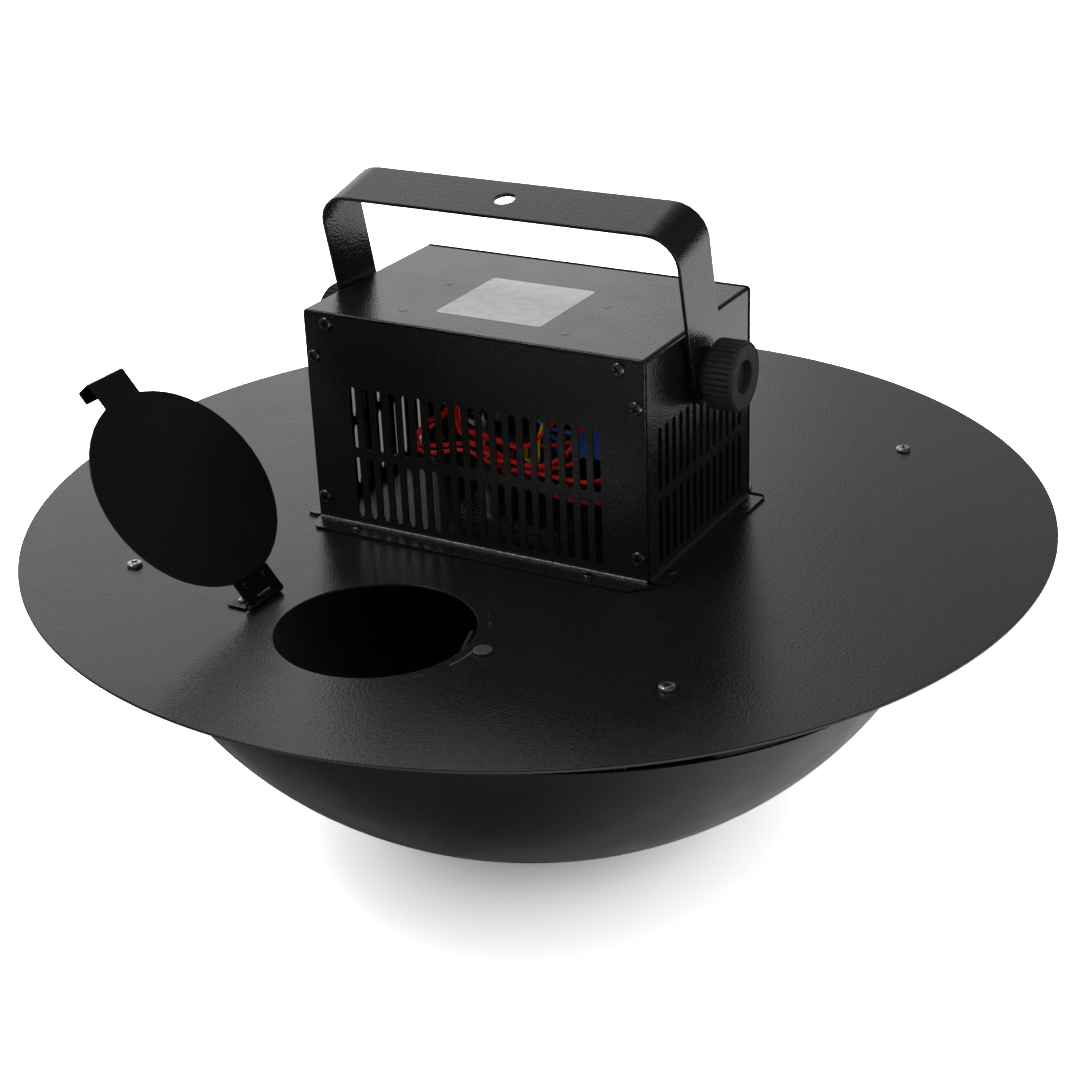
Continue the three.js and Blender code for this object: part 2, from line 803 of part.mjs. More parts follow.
function impeller() {
  const hubTop = impellerBottom + impellerHubHeight;
  const disc = rod('z', impellerRadius, impellerSides, impellerBottom, impellerBottom + impellerDisc);
  const hub = rod('z', impellerHubRadius, motorSides, impellerBottom, hubTop);
  const blades = [];
  for (let i = 0; i < impellerBlades; i += 1) blades.push(blade((2 * Math.PI * i) / impellerBlades));
  const bore = rod('z', shaftRadius + seatGap, studSides, impellerBottom - overrun, hubTop + overrun);
  return cut(joined(disc, hub, ...blades), bore);
}
rotor.add(piece('impeller', impeller(), finish(0x8d9094, 0.4, 0.8)));

// A hexagon across its flats, with a bore.
function nut(axis, flats, bore, from, to, u = 0, v = 0) {
  return cut(
    rod(axis, flats / Math.sqrt(3), 6, from, to, u, v),
    rod(axis, bore, studSides, from - overrun, to + overrun, u, v),
  );
}
const nutTop = impellerBottom - seatGap;
const impellerNut = nut('z', nutFlats, shaftRadius + seatGap, nutTop - impellerNutHeight, nutTop);
rotor.add(piece('impeller_nut', impellerNut, zinc()));

// Control board, hung under the cover's top on four standoffs
const coverUnder = housingHeight - housingSheet;
const boardUnder = boardHeight - boardSheet;
const standoffs = {
  front_left: [-standoffLeft, -standoffFront],
  front_right: [standoffRight, -standoffFront],
  rear_left: [-standoffLeft, standoffBack],
  rear_right: [standoffRight, standoffBack],
};

function controlBoard() {
  const radius = standoffPinRadius + seatGap;
  const holes = Object.values(standoffs)
    .map(([x, y]) => rod('z', radius, smallHoleSides, boardUnder - overrun, boardHeight + overrun, x, y));
  return cut(block(-boardLeft, boardRight, -boardFront, boardBack, boardUnder, boardHeight), ...holes);
}
housing.add(piece('control_board', controlBoard(), finish(0x0f5a3c, 0.6, 0)));

for (const [corner, [x, y]] of Object.entries(standoffs)) {
  const post = joined(
    rod('z', standoffRadius, 6, boardHeight + seatGap, coverUnder - seatGap, x, y),
    rod('z', standoffPinRadius, smallHoleSides, boardUnder - boardSheet, boardHeight + standoffRadius, x, y),
  );
  housing.add(piece(`board_standoff_${corner}`, post, zinc()));
}

const partTop = boardUnder - seatGap;

// Terminal block: a stepped body with its wire entries along the lower step.
function terminalBlock() {
  const y0 = -standoffFront - terminalWidth / 2;
  const y1 = y0 + terminalWidth;
  const z0 = partTop - terminalHeight;
  const section = outline([
    [y0, z0],
    [y1 - terminalStep, z0],
    [y1 - terminalStep, z0 + terminalStep],
    [y1, z0 + terminalStep * 2],
    [y1, partTop],
    [y0, partTop],
  ]);
  return prism(section, 'x', terminalLeft, terminalLeft + terminalLength);
}
housing.add(piece('terminal_block', terminalBlock(), finish(0x1f4fb0, 0.45, 0)));

// A laminated core with the winding's bobbin through it.
function transformer() {
  const x = transformerLength / 2;
  const y = transformerWidth / 2;
  const rim = transformerBobbin / 2;
  const core = block(-x, x, -y, y, rim - transformerHeight, -rim);
  const bobbinHalf = x - transformerBobbin;
  return joined(core, block(-bobbinHalf, bobbinHalf, -y - rim, y + rim, -transformerHeight, 0));
}
const supply = piece('transformer', transformer(), darkSteel());
supply.position.set(-transformerLeft, -transformerForward, partTop);
housing.add(supply);

const relayBody = block(0, relayLength, 0, relayWidth, -relayHeight, 0);
const relay = piece('motor_relay', relayBody, finish(0x2c2f35, 0.5, 0));
relay.position.set(relayRight, -relayForward, partTop);
housing.add(relay);

const plugBody = block(0, plugLength, 0, plugWidth, -plugHeight, 0);
const plug = piece('lead_plug', plugBody, finish(0xe6e4dc, 0.5, 0));
plug.position.set(-plugLeft, -plugForward, partTop);
housing.add(plug);

// Wires: each a round lead through points chosen by hand, x, y and z in the housing's frame
const leads = {
  lead_red_supply: [0xc01818, [
    [-20, -47, 69.4], [-20, -47, 65], [-17, -46, 60], [-12, -45, 56.5], [-3, -44.2, 53.8], [8, -44, 53],
    [20, -44, 54], [31, -43.2, 55.4], [40, -42.6, 57.4], [45, -42.2, 59.4], [48.2, -42, 60.2],
  ]],
  lead_red_terminal: [0xbe1616, [
    [-16, -49.2, 77.2], [-15.4, -50, 71.7], [-14.6, -50, 66], [-14, -49.8, 60.5], [-10.5, -51.6, 57],
    [-5.5, -53, 55], [0, -53, 53], [6, -53, 49.5], [11, -53.4, 47.8], [17.5, -54, 49], [25.4, -54, 48.4],
    [33, -54.2, 48.6], [40.8, -54.2, 52], [48, -53.2, 57], [52.5, -52.6, 63], [55, -51.6, 69],
    [56, -50.4, 72], [56.4, -48.3, 73],
  ]],
  lead_red_link: [0xc21a1a, [
    [-12.6, -49.4, 77.2], [-12.4, -50, 71], [-11.8, -50.4, 65.5], [-9.5, -51.6, 61.8], [-5, -53, 60.5],
    [0.6, -53, 60], [5, -52.6, 59.5], [9.6, -52.2, 59], [16.8, -52.4, 56.6], [24.3, -53.4, 56.8],
    [32.1, -54.2, 62], [38, -53.6, 68], [42, -52, 73], [43.5, -49.8, 77.2],
  ]],
  lead_red_plug: [0xba1515, [
    [-22, -43.6, 69.4], [-23, -45.4, 66], [-26, -49.8, 60.6], [-29.3, -52.6, 58.2], [-33, -53.6, 56],
    [-36.5, -53.8, 53.2], [-38, -53.8, 49.4], [-36.2, -54, 45.8], [-29.3, -54.2, 45.4], [-21, -54, 47.4],
    [-13.6, -53.6, 49.4], [-8, -53.4, 50.6], [-3, -53.2, 49], [3, -52.6, 46.2], [8, -49, 42.6],
    [8, -42, 41], [6, -34, 41], [4, -28.8, 41],
  ]],
  lead_red_motor: [0xb81414, [
    [-22, -22, 56.5], [-26, -27, 59.5], [-32, -34, 59], [-38, -41, 55.5], [-41, -46, 51], [-38, -50, 46.8],
    [-29, -51.4, 48.4], [-21, -51.2, 50], [-13.6, -50.6, 51.8], [-4, -50.2, 52.4], [4, -50, 51.4],
    [10, -50, 49.4], [18, -50, 46.8], [30, -49.6, 45.6], [40, -48.6, 47], [47, -46.5, 49.4],
    [50.5, -44.4, 51.6], [51.5, -43.6, 53.4],
  ]],
  lead_red_switch: [0xc41c1c, [
    [62, -42, 54.2], [62.4, -42.4, 51.5], [64.5, -44, 49], [66, -48, 46.4], [64, -52.4, 45], [56, -54.8, 45.2],
    [48.5, -55.6, 45.3], [40.8, -56, 45.8], [33, -56, 46], [25, -55.8, 45.6], [17.5, -54, 44.4],
    [12, -50.6, 42], [11, -45, 37], [14, -39, 31], [24, -36, 27], [44, -34, 24], [62, -22, 22], [66, 0, 22],
    [52, 24, 26], [28, 35, 32], [6, 40, 38], [-8, 42.6, 42],
  ]],
  lead_blue_supply: [0x1c4fc0, [
    [28, -47.4, 77.2], [29, -47, 71.5], [31.5, -46.6, 67.4], [36, -46.4, 66], [40, -46.4, 66.4],
    [44, -46.2, 66.2], [48.2, -46, 65.8],
  ]],
  lead_blue_motor: [0x1a4bb8, [
    [26, -36, 77.2], [26.4, -37, 72], [27.5, -39, 66], [30.5, -39.4, 61], [35.5, -38.4, 57.5],
    [38.6, -36.6, 52], [35, -33.6, 48.6], [29.6, -29.4, 48.8],
  ]],
  lead_yellow_motor: [0xd8c414, [
    [36, -47.8, 77.2], [35, -49, 71], [33, -50.2, 65], [31.7, -50.8, 60.3], [31.4, -50.4, 54], [30, -48, 49.2],
    [25, -43, 46], [17, -37, 43], [12, -28.6, 44],
  ]],
  lead_white_plug: [0xdedbd2, [
    [-14.6, -47, 69.4], [-14.4, -46.2, 65], [-11.5, -42.5, 61.5], [-7.5, -40, 57], [-5.5, -40.4, 47],
    [-6, -36.5, 41], [-8, -29, 40],
  ]],
};

function lead(points) {
  const route = new THREE.CatmullRomCurve3(points.map((point) => new THREE.Vector3(...point)));
  const steps = Math.round(route.getLength() / wireStep);
  const section = round(wireRadius, wireSides);
  return solid(new THREE.ExtrudeGeometry(section, { steps, bevelEnabled: false, extrudePath: route }));
}
for (const [name, [color, points]] of Object.entries(leads)) {
  housing.add(piece(name, lead(points), finish(color, 0.5, 0)));
}

// Fill lid. It is drawn closed, lying along +X from its hinge axis, and turned open.
const lid = new THREE.Group();
lid.position.set(-hingeAxisLeft, -lidForward, hingeAxisHeight);
lid.rotation.y = -lidOpen;
machine.add(lid);

function fillLid() {
  const z0 = -lidUnderAxis;
  const z1 = lidSheet - lidUnderAxis;
  const tip = lidMiddle + lidRadius + tabReach;
  const heel = knuckleRadius + turnGap;
  const disc = rod('z', lidRadius, deckSides / 2, z0, z1, lidMiddle);
  const tail = block(heel, lidMiddle, -tabWidth / 2, tabWidth / 2, z0, z1);
  const hookTop = z0 + pullHeight;
  const path = bent([[lidMiddle, z0], [tip, z0], [tip, hookTop], [tip - pullReturn, hookTop]], pullBend, 3);
  const section = turnedOver(sheetSection(path.reverse(), lidSheet));
  return joined(disc, tail, prism(section, 'y', -tabWidth / 2, tabWidth / 2));
}
lid.add(piece('fill_lid', fillLid(), satinBlack()));

// Half of the hinge: a flat leaf between two places along X, at a depth under the axis, with
// its own knuckles rolled at the axis and notches for the other half's.
function hingeLeaf(from, to, underAxis, knuckles, notches) {
  const half = tabWidth / 2;
  const reach = knuckleRadius + turnGap;
  const leaf = block(from, to, -half, half, -underAxis, leafSheet - underAxis);
  const barrels = knuckles.map(([start, end]) => rod('y', knuckleRadius, studSides, start, end));
  const notch = (start, end) => block(-reach, reach, start - turnGap, end + turnGap, -reach, reach);
  const gaps = notches.map(([start, end]) => notch(start, end));
  const bore = rod('y', hingePinRadius + turnGap, studSides, -half - overrun, half + overrun);
  return cut(joined(leaf, ...barrels), ...gaps, bore);
}
const hingeHalf = tabWidth / 2;
const knuckleEnd = middleKnuckle / 2;
const outerKnuckles = [[-hingeHalf, -knuckleEnd], [knuckleEnd, hingeHalf]];
const innerKnuckle = [[-knuckleEnd, knuckleEnd]];
const lidLeaf = hingeLeaf(0, leafLength, leafUnderAxis, outerKnuckles, innerKnuckle);
lid.add(piece('hinge_leaf_lid', lidLeaf, darkSteel()));

const hinge = new THREE.Group();
hinge.position.copy(lid.position);
machine.add(hinge);
const deckLeaf = hingeLeaf(-leafLength, 0, hingeAxisHeight - seatGap, innerKnuckle, outerKnuckles);
hinge.add(piece('hinge_leaf_deck', deckLeaf, darkSteel()));
hinge.add(piece('hinge_pin', rod('y', hingePinRadius, studSides, -hingeHalf, hingeHalf), zinc()));

// Magnet that the lid's tab lands on
function catchMagnet() {
  return turned([
    [0, -catchShankLength],
    [catchShankRadius, -catchShankLength],
    [catchShankRadius, seatGap],
    [catchRadius, seatGap],
    [catchRadius, catchTop],
    [0, catchTop],
  ], studSides);
}
const magnet = piece('catch_magnet', catchMagnet(), zinc());
magnet.position.set(catchOut, -lidForward, 0);
machine.add(magnet);

// Yoke, drawn upright on its pivot and tilted forward
const yoke = new THREE.Group();
yoke.position.z = pivotHeight;
yoke.rotation.x = yokeTilt;
machine.add(yoke);

function hangingYoke() {
  const x = yokeHalfWidth;
  const inner = x - yokeSheet;
  const half = yokeStrip / 2;
  const path = bent([[-x, 0], [-x, yokeReach], [x, yokeReach], [x, 0]], yokeBend, 6);
  const strip = prism(turnedOver(sheetSection(path, yokeSheet)), 'y', -half, half);
  const ends = [[-x, -inner], [inner, x]].map(([from, to]) => rod('x', half, holeSides, from, to));
  const pivots = rod('x', studRadius + turnGap, studSides, -x - overrun, x + overrun);
  const bolt = rod('z', yokeBoltRadius, studSides, yokeReach - yokeSheet - overrun, yokeReach + overrun);
  return cut(joined(strip, ...ends), pivots, bolt);
}
yoke.add(piece('hanging_yoke', hangingYoke(), powderCoat()));

// Knob and stud, drawn for the right side along +X from the yoke's outer face
const knobBase = yokeHalfWidth + seatGap;
const knobFace = knobBase + knobLength;

function knobOutline() {
  const points = [];
  for (let i = 0; i < knobFlutes; i += 1) {
    for (const [share, depth] of [[0, 0], [0.5, knobFluteDepth]]) {
      const angle = (2 * Math.PI * (i + share)) / knobFlutes;
      const radius = knobRadius - depth;
      points.push(new THREE.Vector2(radius * Math.cos(angle), radius * Math.sin(angle)));
    }
  }
  return new THREE.Shape(points);
}

// A turned body on the X axis, from (radius, place on the axis) pairs.
function turnedOnX(profile, sides) {
  return turned(profile, sides).rotate([0, 90, 0]);
}

function clampKnob() {
  const gripStart = knobBase + knobCollarLength;
  const gripEnd = knobFace - knobChamfer;
  const studEnd = housingHalfWidth - housingSheet - nutHeight - seatGap * 2;
  const grip = prism(knobOutline(), 'x', gripStart, gripEnd);
  const core = turnedOnX([
    [0, studEnd],
    [studRadius, studEnd],
    [studRadius, knobBase],
    [knobCollarRadius, knobBase],
    [knobCollarRadius, gripStart],
    [knobRadius - knobFluteDepth, gripStart + knobChamfer],
    [knobRadius - knobFluteDepth / 2, gripEnd],
    [knobRadius - knobChamfer, knobFace],
    [knobGrooveRadius, knobFace],
    [knobGrooveRadius, knobFace - knobGrooveDepth],
    [knobGrooveRadius - knobGrooveWidth, knobFace - knobGrooveDepth],
    [knobGrooveRadius - knobGrooveWidth, knobFace],
    [knobRecessRadius, knobFace],
    [knobRecessRadius, knobFace - knobRecessDepth],
    [0, knobFace - knobRecessDepth],
  ], knobSides);
  const hollow = rod('x', knobRecessRadius, knobSides, knobFace - knobRecessDepth, knobFace + overrun);
  return cut(joined(core, grip), hollow);
}

function frictionWasher() {
  const start = housingHalfWidth + seatGap;
  const end = start + washerSheet;
  const bore = rod('x', studRadius + turnGap, studSides, start - overrun, end + overrun);
  return cut(rod('x', washerRadius, holeSides, start, end), bore);
}

const nutEnd = housingHalfWidth - housingSheet - seatGap;
const clampParts = {
  clamp_knob: [clampKnob(), blackPlastic],
  friction_washer: [frictionWasher(), rubber],
  pivot_nut: [nut('x', nutFlats, studRadius + turnGap, nutEnd - nutHeight, nutEnd), zinc],
};
for (const [side, turn] of Object.entries({ right: 0, left: Math.PI })) {
  const place = new THREE.Group();
  place.position.z = pivotHeight;
  place.rotation.z = turn;
  for (const [name, [body, material]] of Object.entries(clampParts)) {
    place.add(piece(`${name}_${side}`, body, material()));
  }
  machine.add(place);
}

export default machine;
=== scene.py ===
# A hanging confetti blower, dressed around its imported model. Metres, +Z up, and the origin
# is the bolt hole in the yoke, where the machine hangs.
import bmesh
import bpy
import json
import math
from mathutils import Matrix, Vector


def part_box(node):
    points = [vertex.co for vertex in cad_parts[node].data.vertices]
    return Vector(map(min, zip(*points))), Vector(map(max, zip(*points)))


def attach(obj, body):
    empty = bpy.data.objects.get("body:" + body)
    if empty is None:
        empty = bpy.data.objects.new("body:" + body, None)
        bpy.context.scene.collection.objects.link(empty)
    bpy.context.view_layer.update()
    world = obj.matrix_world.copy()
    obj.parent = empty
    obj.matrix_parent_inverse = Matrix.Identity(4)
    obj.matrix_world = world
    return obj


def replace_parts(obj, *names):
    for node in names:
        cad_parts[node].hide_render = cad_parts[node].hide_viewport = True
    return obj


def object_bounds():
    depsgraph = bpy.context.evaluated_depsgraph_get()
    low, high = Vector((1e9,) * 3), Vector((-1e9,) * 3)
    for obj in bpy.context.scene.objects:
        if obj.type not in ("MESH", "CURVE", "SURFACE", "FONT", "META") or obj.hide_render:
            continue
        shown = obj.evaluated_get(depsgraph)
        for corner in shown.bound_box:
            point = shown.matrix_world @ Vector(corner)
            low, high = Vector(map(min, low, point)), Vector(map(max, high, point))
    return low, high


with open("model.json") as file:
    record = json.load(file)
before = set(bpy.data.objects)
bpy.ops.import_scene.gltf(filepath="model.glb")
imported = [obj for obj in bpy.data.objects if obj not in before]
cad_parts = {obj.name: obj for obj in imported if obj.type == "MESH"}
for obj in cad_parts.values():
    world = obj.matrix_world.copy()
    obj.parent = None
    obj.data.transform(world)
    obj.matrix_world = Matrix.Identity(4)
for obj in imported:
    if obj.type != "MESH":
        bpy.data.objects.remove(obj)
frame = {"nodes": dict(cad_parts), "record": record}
cad_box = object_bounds()
scene = bpy.context.scene
mm = 0.001

# The deck plate carries everything. Places below are given from the middle of its top, in mm.
deck_low, deck_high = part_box("top_plate")
deck_middle = Vector(((deck_low.x + deck_high.x) / 2, (deck_low.y + deck_high.y) / 2, deck_high.z))


def on_deck(x, y, z):
    return deck_middle + Vector((x, y, z)) * mm


# Sizes and places of the machine's parts in mm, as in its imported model
deck_radius = 265
deck_sheet = 1.5
fill_hole_middle, fill_hole_radius = (0, -153.4), 47.5
shaft_hole_radius = 15
magnet_place = (57, -151.8)
screw_hole_radius = 2.3
bracket_circle = 208
bracket_turns = {"front_right": -45, "rear_right": 45, "rear_left": 135, "front_left": 225}
cover_top, cover_end = 114, 58.5
panel_front, panel_end, panel_end_in_scene = 60, 94, 94.5
bowl_sheet = 1.2
bowl_mouth_drop, bowl_mouth_lean, bowl_mouth_turn = 48.9, math.radians(5.3), math.radians(14.5)
hinge_pivot, lid_swing = (-64, -151.8, 2.5), math.radians(129.5)
yoke_pivot_height = 89


# Camera: the photograph's view, worked out from the round deck and the square housing
camera = bpy.data.objects.new("camera", bpy.data.cameras.new("camera"))
scene.collection.objects.link(camera)
camera.data.sensor_width = 36
camera.data.lens = 69.73
camera.data.clip_start = 0.01
camera.data.clip_end = 100
right = Vector((0.87370, 0.48509, -0.03659))
up = Vector((-0.17610, 0.38551, 0.90574))
back = right.cross(up)
stand = Vector((0.499605, -0.843798, 0.275158))
camera.matrix_world = Matrix((
    (right.x, up.x, back.x, stand.x),
    (right.y, up.y, back.y, stand.y),
    (right.z, up.z, back.z, stand.z),
    (0, 0, 0, 1),
))
scene.camera = camera
scene.view_settings.view_transform = "Standard"


def feed(tree, socket, source):
    """Joins a socket to another node's output, or gives it a plain value."""
    if isinstance(source, bpy.types.NodeSocket):
        tree.links.new(source, socket)
    else:
        socket.default_value = source


def wired(tree, kind, *sources, **settings):
    """A shader node, with its inputs fed in order."""
    made = tree.nodes.new(kind)
    for setting, value in settings.items():
        setattr(made, setting, value)
    for socket, source in zip(made.inputs, sources):
        feed(tree, socket, source)
    return made


# Materials: each is made of its shader, and of layers that read the piece's own coordinates
class Finish:
    def __init__(self, name, color, roughness, metallic=0.0, **sockets):
        self.material = bpy.data.materials.new(name)
        self.material.use_nodes = True
        self.tree = self.material.node_tree
        self.shader = self.tree.nodes["Principled BSDF"]
        self.shader.inputs["Base Color"].default_value = (*color, 1)
        self.shader.inputs["Roughness"].default_value = roughness
        self.shader.inputs["Metallic"].default_value = metallic
        for socket, value in sockets.items():
            self.shader.inputs[socket.replace("_", " ")].default_value = value
        self.color = color
        self.roughness = roughness
        self.place = self.node("ShaderNodeTexCoord").outputs["Object"]
        self.bump = None

    def node(self, kind, *sources, **settings):
        return wired(self.tree, kind, *sources, **settings)

    def link(self, source, target):
        self.tree.links.new(source, target)

    def stretched(self, scale):
        mapping = self.node("ShaderNodeMapping")
        mapping.inputs["Scale"].default_value = scale
        self.link(self.place, mapping.inputs["Vector"])
        return mapping.outputs["Vector"]

    def noise(self, size, detail=2.0, roughness=0.5, scale=None):
        """Noise whose patches are about that many millimetres across."""
        texture = self.node("ShaderNodeTexNoise")
        texture.inputs["Scale"].default_value = 1 / (size * mm)
        texture.inputs["Detail"].default_value = detail
        texture.inputs["Roughness"].default_value = roughness
        self.link(self.stretched(scale) if scale else self.place, texture.inputs["Vector"])
        return texture.outputs["Fac"]

    def cells(self, size):
        """Rounded cells about that many millimetres across."""
        texture = self.node("ShaderNodeTexVoronoi", feature="SMOOTH_F1")
        texture.inputs["Scale"].default_value = 1 / (size * mm)
        self.link(self.place, texture.inputs["Vector"])
        return texture.outputs["Distance"]

    def ranged(self, value, low, high, new_low, new_high):
        """The value, drifting smoothly from new_low at low to new_high at high."""
        return self.node(
            "ShaderNodeMapRange", value, low, high, new_low, new_high, interpolation_type="SMOOTHSTEP",
        ).outputs["Result"]

    def place_from(self, x, y, z):
        """The piece's coordinates, counted from a place on the deck."""
        mapping = self.node("ShaderNodeMapping", vector_type="POINT")
        mapping.inputs["Location"].default_value = -on_deck(x, y, z)
        self.link(self.place, mapping.inputs["Vector"])
        return mapping.outputs["Vector"]

    def apart(self, vector):
        """The three parts of a vector."""
        return self.node("ShaderNodeSeparateXYZ", vector).outputs

    def product(self, first, second):
        return self.node("ShaderNodeMath", first, second, operation="MULTIPLY").outputs["Value"]

    def raise_by(self, height, depth):
        """Bumps that stand that many millimetres high."""
        bump = self.node("ShaderNodeBump")
        bump.inputs["Strength"].default_value = 1
        bump.inputs["Distance"].default_value = depth * mm
        self.link(height, bump.inputs["Height"])
        if self.bump:
            self.link(self.bump, bump.inputs["Normal"])
        self.bump = bump.outputs["Normal"]
        self.link(self.bump, self.shader.inputs["Normal"])
        return self

    def mottle(self, value, other, low=0.4, high=0.6):
        """Colour that drifts from the base towards another."""
        mix = self.node("ShaderNodeMix", data_type="RGBA")
        self.link(self.ranged(value, low, high, 0, 1), mix.inputs["Factor"])
        if self.shader.inputs["Base Color"].is_linked:
            self.link(self.shader.inputs["Base Color"].links[0].from_socket, mix.inputs["A"])
        else:
            mix.inputs["A"].default_value = (*self.color, 1)
        mix.inputs["B"].default_value = (*other, 1)
        self.link(mix.outputs["Result"], self.shader.inputs["Base Color"])
        return self

    def worn_gloss(self, value, spread, low=0.35, high=0.65):
        """Roughness that drifts about its middle value."""
        drift = self.ranged(value, low, high, self.roughness - spread, self.roughness + spread)
        self.link(drift, self.shader.inputs["Roughness"])
        return self


def powder_coat(name, color, roughness, gloss, peel, grain):
    """Black powder coat with an orange-peel skin and fine grain in it. Gloss is its index of refraction."""
    coat = Finish(name, color, roughness, IOR=gloss)
    coat.raise_by(coat.noise(1.0, 2.0, 0.5), peel)
    coat.raise_by(coat.cells(0.9), grain)
    coat.mottle(coat.noise(0.7, 1.0), tuple(2.2 * part for part in color), 0.5, 0.75)
    coat.worn_gloss(coat.noise(30, 3.0), 0.04)
    return coat


def painted_rear_edge_shade(coat):
    """Painted shade: the cover's top reflects nothing along its rear end, a dark line where it meets the rear
    panel.
    """
    backwards = coat.apart(coat.place_from(0, 0, 0))["Y"]
    gloss = coat.ranged(backwards, 55.0 * mm, 55.3 * mm, 0.5, 0)
    coat.link(gloss, coat.shader.inputs["Specular IOR Level"])


def wear_mark(coat):
    """A scuffed arc on the deck where the lid's rim has rubbed, on the fill hole's right."""
    from_middle = coat.place_from(0, -152.5, 0)
    reach = coat.node("ShaderNodeVectorMath", from_middle, operation="LENGTH").outputs["Value"]
    inner = coat.ranged(reach, 51.4 * mm, 52.4 * mm, 0, 1)
    outer = coat.ranged(reach, 52.8 * mm, 53.8 * mm, 1, 0)
    ring = coat.product(inner, outer)
    on_right = coat.product(ring, coat.ranged(coat.apart(from_middle)["X"], 34 * mm, 48 * mm, 0, 0.7))
    broken = coat.product(on_right, coat.ranged(coat.noise(9, 4.0), 0.42, 0.6, 0, 1))
    coat.mottle(broken, (0.07, 0.07, 0.072), 0, 1)


def metal(name, color, roughness, stretch=(1, 1, 1)):
    """Bare or plated metal with fine drawn lines and a cloudy tarnish."""
    made = Finish(name, color, roughness, 1.0)
    made.raise_by(made.noise(0.4, 3.0, 0.6, stretch), 0.01)
    made.mottle(made.noise(3, 3.0), tuple(0.88 * part for part in color))
    made.worn_gloss(made.noise(1.6, 2.0), 0.05)
    return made


def painted_shade_in_recesses(made, reach, darkest):
    """Painted shade in a piece's narrow recesses, within that many millimetres of another wall."""
    shade = made.node("ShaderNodeAmbientOcclusion", samples=8, only_local=True)
    shade.inputs["Distance"].default_value = reach * mm
    made.mottle(made.ranged(shade.outputs["AO"], 0.35, 0.85, 1, 0), darkest, 0, 1)


def plastic(name, color, roughness, grain=0.01, **sockets):
    """Moulded plastic with a fine spark-eroded skin."""
    made = Finish(name, color, roughness, **sockets)
    made.raise_by(made.noise(0.35, 2.0, 0.6), grain)
    made.mottle(made.noise(6, 3.0), tuple(0.88 * part for part in color))
    made.worn_gloss(made.noise(4, 3.0), 0.04)
    return made


def circuit_board(name):
    """Green solder resist over copper tracks."""
    made = Finish(name, (0.015, 0.11, 0.06), 0.35)
    tracks = made.node("ShaderNodeTexBrick", offset=0.35)
    tracks.inputs["Scale"].default_value = 90
    tracks.inputs["Mortar Size"].default_value = 0.03
    made.link(made.place, tracks.inputs["Vector"])
    made.mottle(tracks.outputs["Fac"], (0.03, 0.2, 0.1), 0.2, 0.8)
    made.raise_by(tracks.outputs["Fac"], 0.03)
    return made


black = (0.005, 0.0051, 0.0054)
deck_coat = powder_coat("deck_powder_coat", black, 0.17, 1.5, 0.15, 0.07)
wear_mark(deck_coat)
cover_coat = powder_coat("cover_powder_coat", black, 0.16, 1.58, 0.15, 0.07)
# A painted shade line along the cover's rear edge
painted_rear_edge_shade(cover_coat)
# The screws' cross recesses are darkened with painted shade
screw_zinc = metal("screw_zinc", (0.6, 0.61, 0.63), 0.3)
painted_shade_in_recesses(screw_zinc, 1.2, (0.05, 0.05, 0.052))
black_screw = metal("black_screw", (0.2, 0.2, 0.205), 0.26)
painted_shade_in_recesses(black_screw, 1.2, (0.01, 0.01, 0.01))
satin_black = powder_coat("satin_black", (0.003, 0.003, 0.0032), 0.32, 1.5, 0.05, 0.03)
knob_plastic = plastic("knob_plastic", (0.026, 0.026, 0.0265), 0.6, 0.02, Specular_IOR_Level=0.08)
finishes = {
    "deck_coat": ("powder_coat", deck_coat),
    "cover_coat": ("powder_coat", cover_coat),
    "powder_coat": ("powder_coat", powder_coat("powder_coat", black, 0.16, 1.62, 0.15, 0.08)),
    "satin_black": ("satin_black", satin_black),
    "black_plastic": ("black_plastic", plastic("black_plastic", (0.009, 0.009, 0.0095), 0.42, 0.02)),
    "knob_plastic": ("black_plastic", knob_plastic),
    "zinc": ("zinc", metal("zinc", (0.62, 0.63, 0.65), 0.28)),
    "screw_zinc": ("zinc", screw_zinc),
    "magnet_plate": ("zinc", metal("magnet_plate", (0.42, 0.43, 0.44), 0.38)),
    "dark_steel": ("dark_steel", metal("dark_steel", (0.05, 0.05, 0.054), 0.32)),
    "black_screw": ("dark_steel", black_screw),
    "black_rubber": ("black_rubber", plastic("black_rubber", (0.012, 0.012, 0.012), 0.75, 0.03)),
    "brass": ("brass", metal("brass", (0.6, 0.42, 0.16), 0.25)),
    "aluminium": ("aluminium", metal("aluminium", (0.5, 0.51, 0.52), 0.34, (1, 1, 6))),
    "board_green": ("board_green", circuit_board("board_green")),
    "blue_plastic": ("blue_plastic", plastic("blue_plastic", (0.02, 0.09, 0.42), 0.35)),
    "white_plastic": ("white_plastic", plastic("white_plastic", (0.75, 0.74, 0.7), 0.4)),
    "red_sleeve": ("red_sleeve", plastic("red_sleeve", (0.85, 0.012, 0.01), 0.35)),
    "blue_sleeve": ("blue_sleeve", plastic("blue_sleeve", (0.02, 0.12, 0.75), 0.35)),
    "yellow_sleeve": ("yellow_sleeve", plastic("yellow_sleeve", (0.9, 0.72, 0.01), 0.35)),
    "white_sleeve": ("white_sleeve", plastic("white_sleeve", (0.75, 0.74, 0.7), 0.35)),
    "silver_print": ("aluminium", plastic("silver_print", (0.5, 0.5, 0.505), 0.36, 0.02)),
}

# Every node of the model takes the finish that the record gives it
bodies = frame["record"]["behaviour"]["bodies"]
body_of = {node: body for body, members in bodies.items() for node in members}
slot_of = {part["node"]: part["material_slot"] for part in frame["record"]["subparts"]}
for name, node in frame["nodes"].items():
    node.data.materials.clear()
    node.data.materials.append(finishes[slot_of[name]][1].material)


